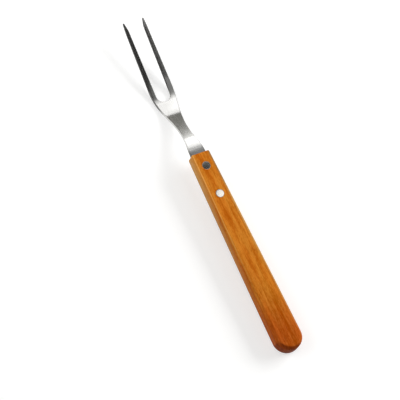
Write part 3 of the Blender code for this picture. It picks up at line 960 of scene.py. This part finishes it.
def left_share(place, right_share):
    """1 on the left of the blade and right_share on its right, with a soft step between."""
    return right_share + (1 - right_share) * place.part("Y").step(*MIDDLE_OFFSET)


def edge_reflection_and_shade(start, place):
    """Painted reflection and shade on the stamped edges, from soft steps along the blade and across it.
    """
    reach = place.part("X")
    outer = start.math("ABSOLUTE", place.part("Y")).step(*OUTER_OFFSET)
    heel = reach.step(*HEEL_REACH) * outer * HEEL_SHARE
    dark_edge_share = start.math("MAXIMUM", reach.step(*TINE_REACH), heel)
    bright = left_share(place, RIGHT_EDGE_SHARE) * reach.step(*NECK_REACH)
    # Painted light on the edges: dark reflection on the tines and heel, bright on the neck's left,
    # shade elsewhere
    return dark_edge_share.mix(bright.mix(SHADED_EDGE, BRIGHT_EDGE_REFLECTION), DARK_EDGE_REFLECTION)


def ground_steel():
    """Polished faces with hairlines, smears and scratches, and matt stamped edges with painted light.
    """
    material, shader, start = new_material("ground_steel")
    place = fork_coordinates(start)
    hairlines = place.scaled(HAIRLINE_SCALE).noise(detail=2.0, roughness=0.6)
    smears = place.scaled(SMEAR_SCALE).noise(detail=3.0)
    scratches = place.scaled(SCRATCH_SCALE).noise(detail=1.0).step(0.70, 0.78)
    tone = (hairlines * 0.6 + smears * 0.4).step(0.3, 0.7).mix(STEEL_DARK, STEEL_LIGHT)
    # Painted shade: the points' faces darker, the left one more
    tip_shade = place.part("X").step(*TIP_REACH) * left_share(place, RIGHT_TIP_SHARE)
    tone = tip_shade.tint(tone, TIP_SHADE_TINT)
    edge = start.node("ShaderNodeAttribute", {"attribute_name": "edge"}, output="Fac").step(0.0, 0.35)
    tone = edge.mix(tone, edge_reflection_and_shade(start, place))
    rough = 0.10 + 0.04 * hairlines + 0.04 * smears + 0.06 * scratches + 0.30 * edge
    relief = hairlines + scratches * 0.5
    bump = start.node("ShaderNodeBump", None, {"Strength": 0.015, "Distance": 0.0001, "Height": relief})
    feed(shader, Base_Color=tone, Roughness=rough, Metallic=1.0, Normal=bump)
    print("ground steel nodes", len(material.node_tree.nodes))
    return material


blade.data.materials.append(ground_steel())

# %% [markdown]
# The rivets are softer, whiter metal, polished flush with the wood on a wheel. The fine
# marks run all one way across the head, and the rim holds a little grime.

# %% Rivet metal
RIVET_LIGHT = (0.83, 0.795, 0.735, 1.0)
RIVET_DARK = (0.73, 0.695, 0.635, 1.0)
RIM_GRIME = (0.48, 0.40, 0.30, 1.0)
MARK_SCALE = (700, 3600, 700)
SPOT_SCALE = (700, 700, 700)


def rivet_metal():
    """White metal with polishing marks across the heads and grime round the rim."""
    material, shader, start = new_material("rivet_metal")
    place = fork_coordinates(start)
    marks = place.scaled(MARK_SCALE).noise(detail=2.0)
    spots = place.scaled(SPOT_SCALE).noise(detail=2.0)
    tone = (marks * 0.6 + spots * 0.4).step(0.3, 0.7).mix(RIVET_DARK, RIVET_LIGHT)
    edge = start.node("ShaderNodeAttribute", {"attribute_name": "edge"}, output="Fac")
    tone = edge.step(0.3, 0.8).mix(tone, RIM_GRIME)
    bump = start.node("ShaderNodeBump", None, {"Strength": 0.01, "Distance": 0.0001, "Height": marks})
    rough = 0.10 + 0.04 * marks + 0.04 * spots + 0.25 * edge
    feed(shader, Base_Color=tone, Roughness=rough, Metallic=1.0, Normal=bump)
    print("rivet metal nodes", len(material.node_tree.nodes))
    return material


metal = rivet_metal()
for piece in rivets.values():
    piece.data.materials.append(metal)

# %% [markdown]
# The fork lies on a plain white sweep: a floor that curves up far away on every side, so
# that any view ends in white. It is lit like the rest, and rays that come straight from
# the camera or off the metal also see a little of its own light, which lifts the paper to
# white and leaves the shadow on it.

# %% White sweep
SWEEP_FLAT = 1.6
SWEEP_REACH = 4.0
SWEEP_RISE = 1.5
SWEEP_PAPER = (0.58, 0.58, 0.58, 1.0)
SWEEP_GLOW = 0.53
SWEEP_TURN_STEPS = 96
SWEEP_LEVEL_RINGS = [0, 0.4, 0.8, 1.2]
SWEEP_RISING_RINGS = 24
BLACK = (0.0, 0.0, 0.0, 1.0)
WHITE = (1.0, 1.0, 1.0, 1.0)


def sweep():
    """A round floor: level to SWEEP_FLAT, then rising by a square law out to SWEEP_REACH."""
    angle = np.linspace(0, math.tau, SWEEP_TURN_STEPS + 1)
    rising = np.linspace(SWEEP_FLAT, SWEEP_REACH, SWEEP_RISING_RINGS)
    radius = np.concatenate([SWEEP_LEVEL_RINGS, rising])[:, None]
    rise = SWEEP_RISE * (np.maximum(radius - SWEEP_FLAT, 0) / (SWEEP_REACH - SWEEP_FLAT)) ** 2
    grid = np.stack([radius * np.cos(angle), radius * np.sin(angle), rise + 0 * angle], axis=-1)
    mesh = bpy.data.meshes.new("white_sweep")
    faces = grid_quads(*grid.shape[:2], 0).reshape(-1, 4)
    mesh.from_pydata(grid.reshape(-1, 3), [], faces.tolist())
    mesh.shade_smooth()
    made = bpy.data.objects.new("white_sweep", mesh)
    bpy.context.scene.collection.objects.link(made)
    return made


def sweep_paper():
    """White paper whose own glow only shows to the camera and in reflections."""
    material, shader, start = new_material("sweep_paper")
    seen = start.node("ShaderNodeLightPath", output="Is Camera Ray")
    mirrored_rays = start.node("ShaderNodeLightPath", output="Is Glossy Ray")
    through = start.node("ShaderNodeLightPath", output="Is Transmission Ray")
    direct = start.math("MAXIMUM", start.math("MAXIMUM", seen, mirrored_rays), through)
    feed(shader, Base_Color=SWEEP_PAPER, Roughness=1.0)
    feed(shader, Emission_Color=direct.mix(BLACK, WHITE), Emission_Strength=SWEEP_GLOW)
    shader.inputs["Specular IOR Level"].default_value = 0.0
    return material


floor = sweep()
floor.data.materials.append(sweep_paper())
print("sweep reaches", SWEEP_REACH, "m")

# %% [markdown]
# Polished steel has no colour of its own to show: it shows what it mirrors. So the small
# boxes and cards are placed for their mirror images. One box whitens the bend and the heel,
# two more let the white fade out, three dim cards grade the bend, the roots and the right
# tine, and one box whitens the rear rivet. A search over many places found where the bands
# fall right along the blade, and the boxes were then set near there in even millimetres.
# Two wide boxes, left and right, light the wood and cast the shadow. They are hidden from
# reflections, or a view from the side would lose the blade in their glare.

# %% Light
# Each box: its middle in the fork's axes, how far its long side dips towards the points
# in degrees, its two sizes, and its brightness, where 1 looks white
MIRRORED_BOXES = {
    "mirror_box": ((0.398, -0.124, 0.210), 42, (0.136, 0.124), 1.40),
    "heel_box": ((0.364, -0.118, 0.332), 10, (0.038, 0.102), 0.80),
    "fade_box": ((0.356, -0.174, 0.402), 25, (0.032, 0.064), 0.42),
    "bend_card": ((0.218, -0.052, 0.100), 10, (0.018, 0.044), 0.27),
    "root_card": ((0.256, -0.036, 0.050), 30, (0.032, 0.042), 0.24),
    "tine_card": ((0.292, -0.060, 0.088), 10, (0.058, 0.020), 0.38),
    "rivet_box": ((0.168, -0.088, 0.128), -12, (0.070, 0.084), 1.36),
}
KEY_BOXES = {
    "left_box": ((0.80, 1.60, 1.04), 0, (1.6, 1.4), 2.55),
    "right_box": ((0.30, -1.60, 0.80), 0, (1.4, 0.7), 11.2),
}
LIGHT_TARGET = np.array([HANDLE_LENGTH + 0.02, 0, 0])


def placed(point, turn):
    """Matrix of an object at a point with three axes, both given in the fork's own axes."""
    rotation = Matrix((fork_axes.T @ np.asarray(turn)).tolist()).to_4x4()
    return Matrix.Translation(to_world(point).tolist()) @ rotation


def soft_box(name, middle, dip, size, brightness):
    """A rectangular lamp that faces the neck; watts are pi times area times brightness."""
    lamp = bpy.data.lights.new(name, "AREA")
    lamp.shape = "RECTANGLE"
    lamp.size, lamp.size_y = size
    lamp.energy = math.pi * size[0] * size[1] * brightness
    away = Vector(np.array(middle) - LIGHT_TARGET).normalized()
    long_side = Vector((math.cos(math.radians(dip)), 0, -math.sin(math.radians(dip))))
    across = away.cross(long_side).normalized()
    turn = np.stack([across.cross(away), across, away], axis=1)
    made = bpy.data.objects.new(name, lamp)
    made.matrix_world = placed(middle, turn)
    made.visible_camera = False
    made.visible_glossy = name in MIRRORED_BOXES
    bpy.context.scene.collection.objects.link(made)
    print(name, "watts", round(lamp.energy, 2))


for name, box in {**MIRRORED_BOXES, **KEY_BOXES}.items():
    soft_box(name, *box)

# %% [markdown]
# What is left for the steel to mirror is the room. In the picture the blade mirrors only
# the room's right side, which darkens upwards and gives the tines their depth. The rest of
# the room has a pale ceiling, so the blade looks like steel from every other side too.

# %% Room
DARK_SIDE_STOPS = [
    (0.00, (0.60, 0.60, 0.58)),
    (0.35, (0.42, 0.415, 0.385)),
    (0.52, (0.254, 0.250, 0.229)),
    (0.68, (0.054, 0.053, 0.051)),
    (1.00, (0.020, 0.020, 0.019)),
]
CEILING_STOPS = [
    (0.00, (0.60, 0.60, 0.58)),
    (0.35, (0.42, 0.415, 0.385)),
    (1.00, (0.36, 0.36, 0.35)),
]
CEILING_START = (-0.20, -0.09)

studio = bpy.data.worlds.new("studio")
studio.use_nodes = True
bpy.context.scene.world = studio
sky = Shade(studio.node_tree)
direction = sky.node("ShaderNodeTexCoord", output="Generated")
height = {"Fac": direction.part("Z")}
dark_side = sky.node("ShaderNodeValToRGB", {"stops": DARK_SIDE_STOPS}, height, "Color")
ceiling = sky.node("ShaderNodeValToRGB", {"stops": CEILING_STOPS}, height, "Color")
room = direction.part("Y").step(*CEILING_START).mix(dark_side, ceiling)
feed(studio.node_tree.nodes["Background"], Color=room, Strength=1.0)
print("room nodes", len(studio.node_tree.nodes))

# %% [markdown]
# The camera stands 1.5 m from the fork, above it and a little towards its butt and its
# left side, and is rolled so that the fork leans across the picture. Its three axes are
# written from those angles, and the lens from the scale of the picture at the fork.

# %% Camera
LEAN = math.radians(14.8)
SIDE = math.radians(21.93)
ROLL = math.radians(25.64)
CAMERA_DISTANCE = 1.5
PICTURE_PIXELS = 400
PIXELS_PER_METRE = 1167
AIM = (0.180, 0, 0)
AIM_PIXEL = (202.40, 163.20)
SENSOR_MM = 36.0

level = math.cos(LEAN)
backward = np.array([-math.sin(LEAN), level * math.sin(SIDE), level * math.cos(SIDE)])
across = np.array([0, -math.cos(SIDE), math.sin(SIDE)])
forward_up = np.cross(backward, across)
right = math.cos(ROLL) * across - math.sin(ROLL) * forward_up
upward = math.sin(ROLL) * across + math.cos(ROLL) * forward_up
aim_right = (AIM_PIXEL[0] - PICTURE_PIXELS / 2) / PIXELS_PER_METRE
aim_up = (PICTURE_PIXELS / 2 - AIM_PIXEL[1]) / PIXELS_PER_METRE
eye = np.array(AIM) + CAMERA_DISTANCE * backward - aim_right * right - aim_up * upward

lens = bpy.data.cameras.new("camera")
lens.sensor_width = SENSOR_MM
lens.lens = PIXELS_PER_METRE * CAMERA_DISTANCE / PICTURE_PIXELS * SENSOR_MM
camera = bpy.data.objects.new("camera", lens)
camera.matrix_world = placed(eye, np.stack([right, upward, backward], axis=1))
bpy.context.scene.collection.objects.link(camera)
bpy.context.scene.camera = camera
bpy.context.scene.view_settings.view_transform = "Standard"
print("lens in mm", round(lens.lens, 1))
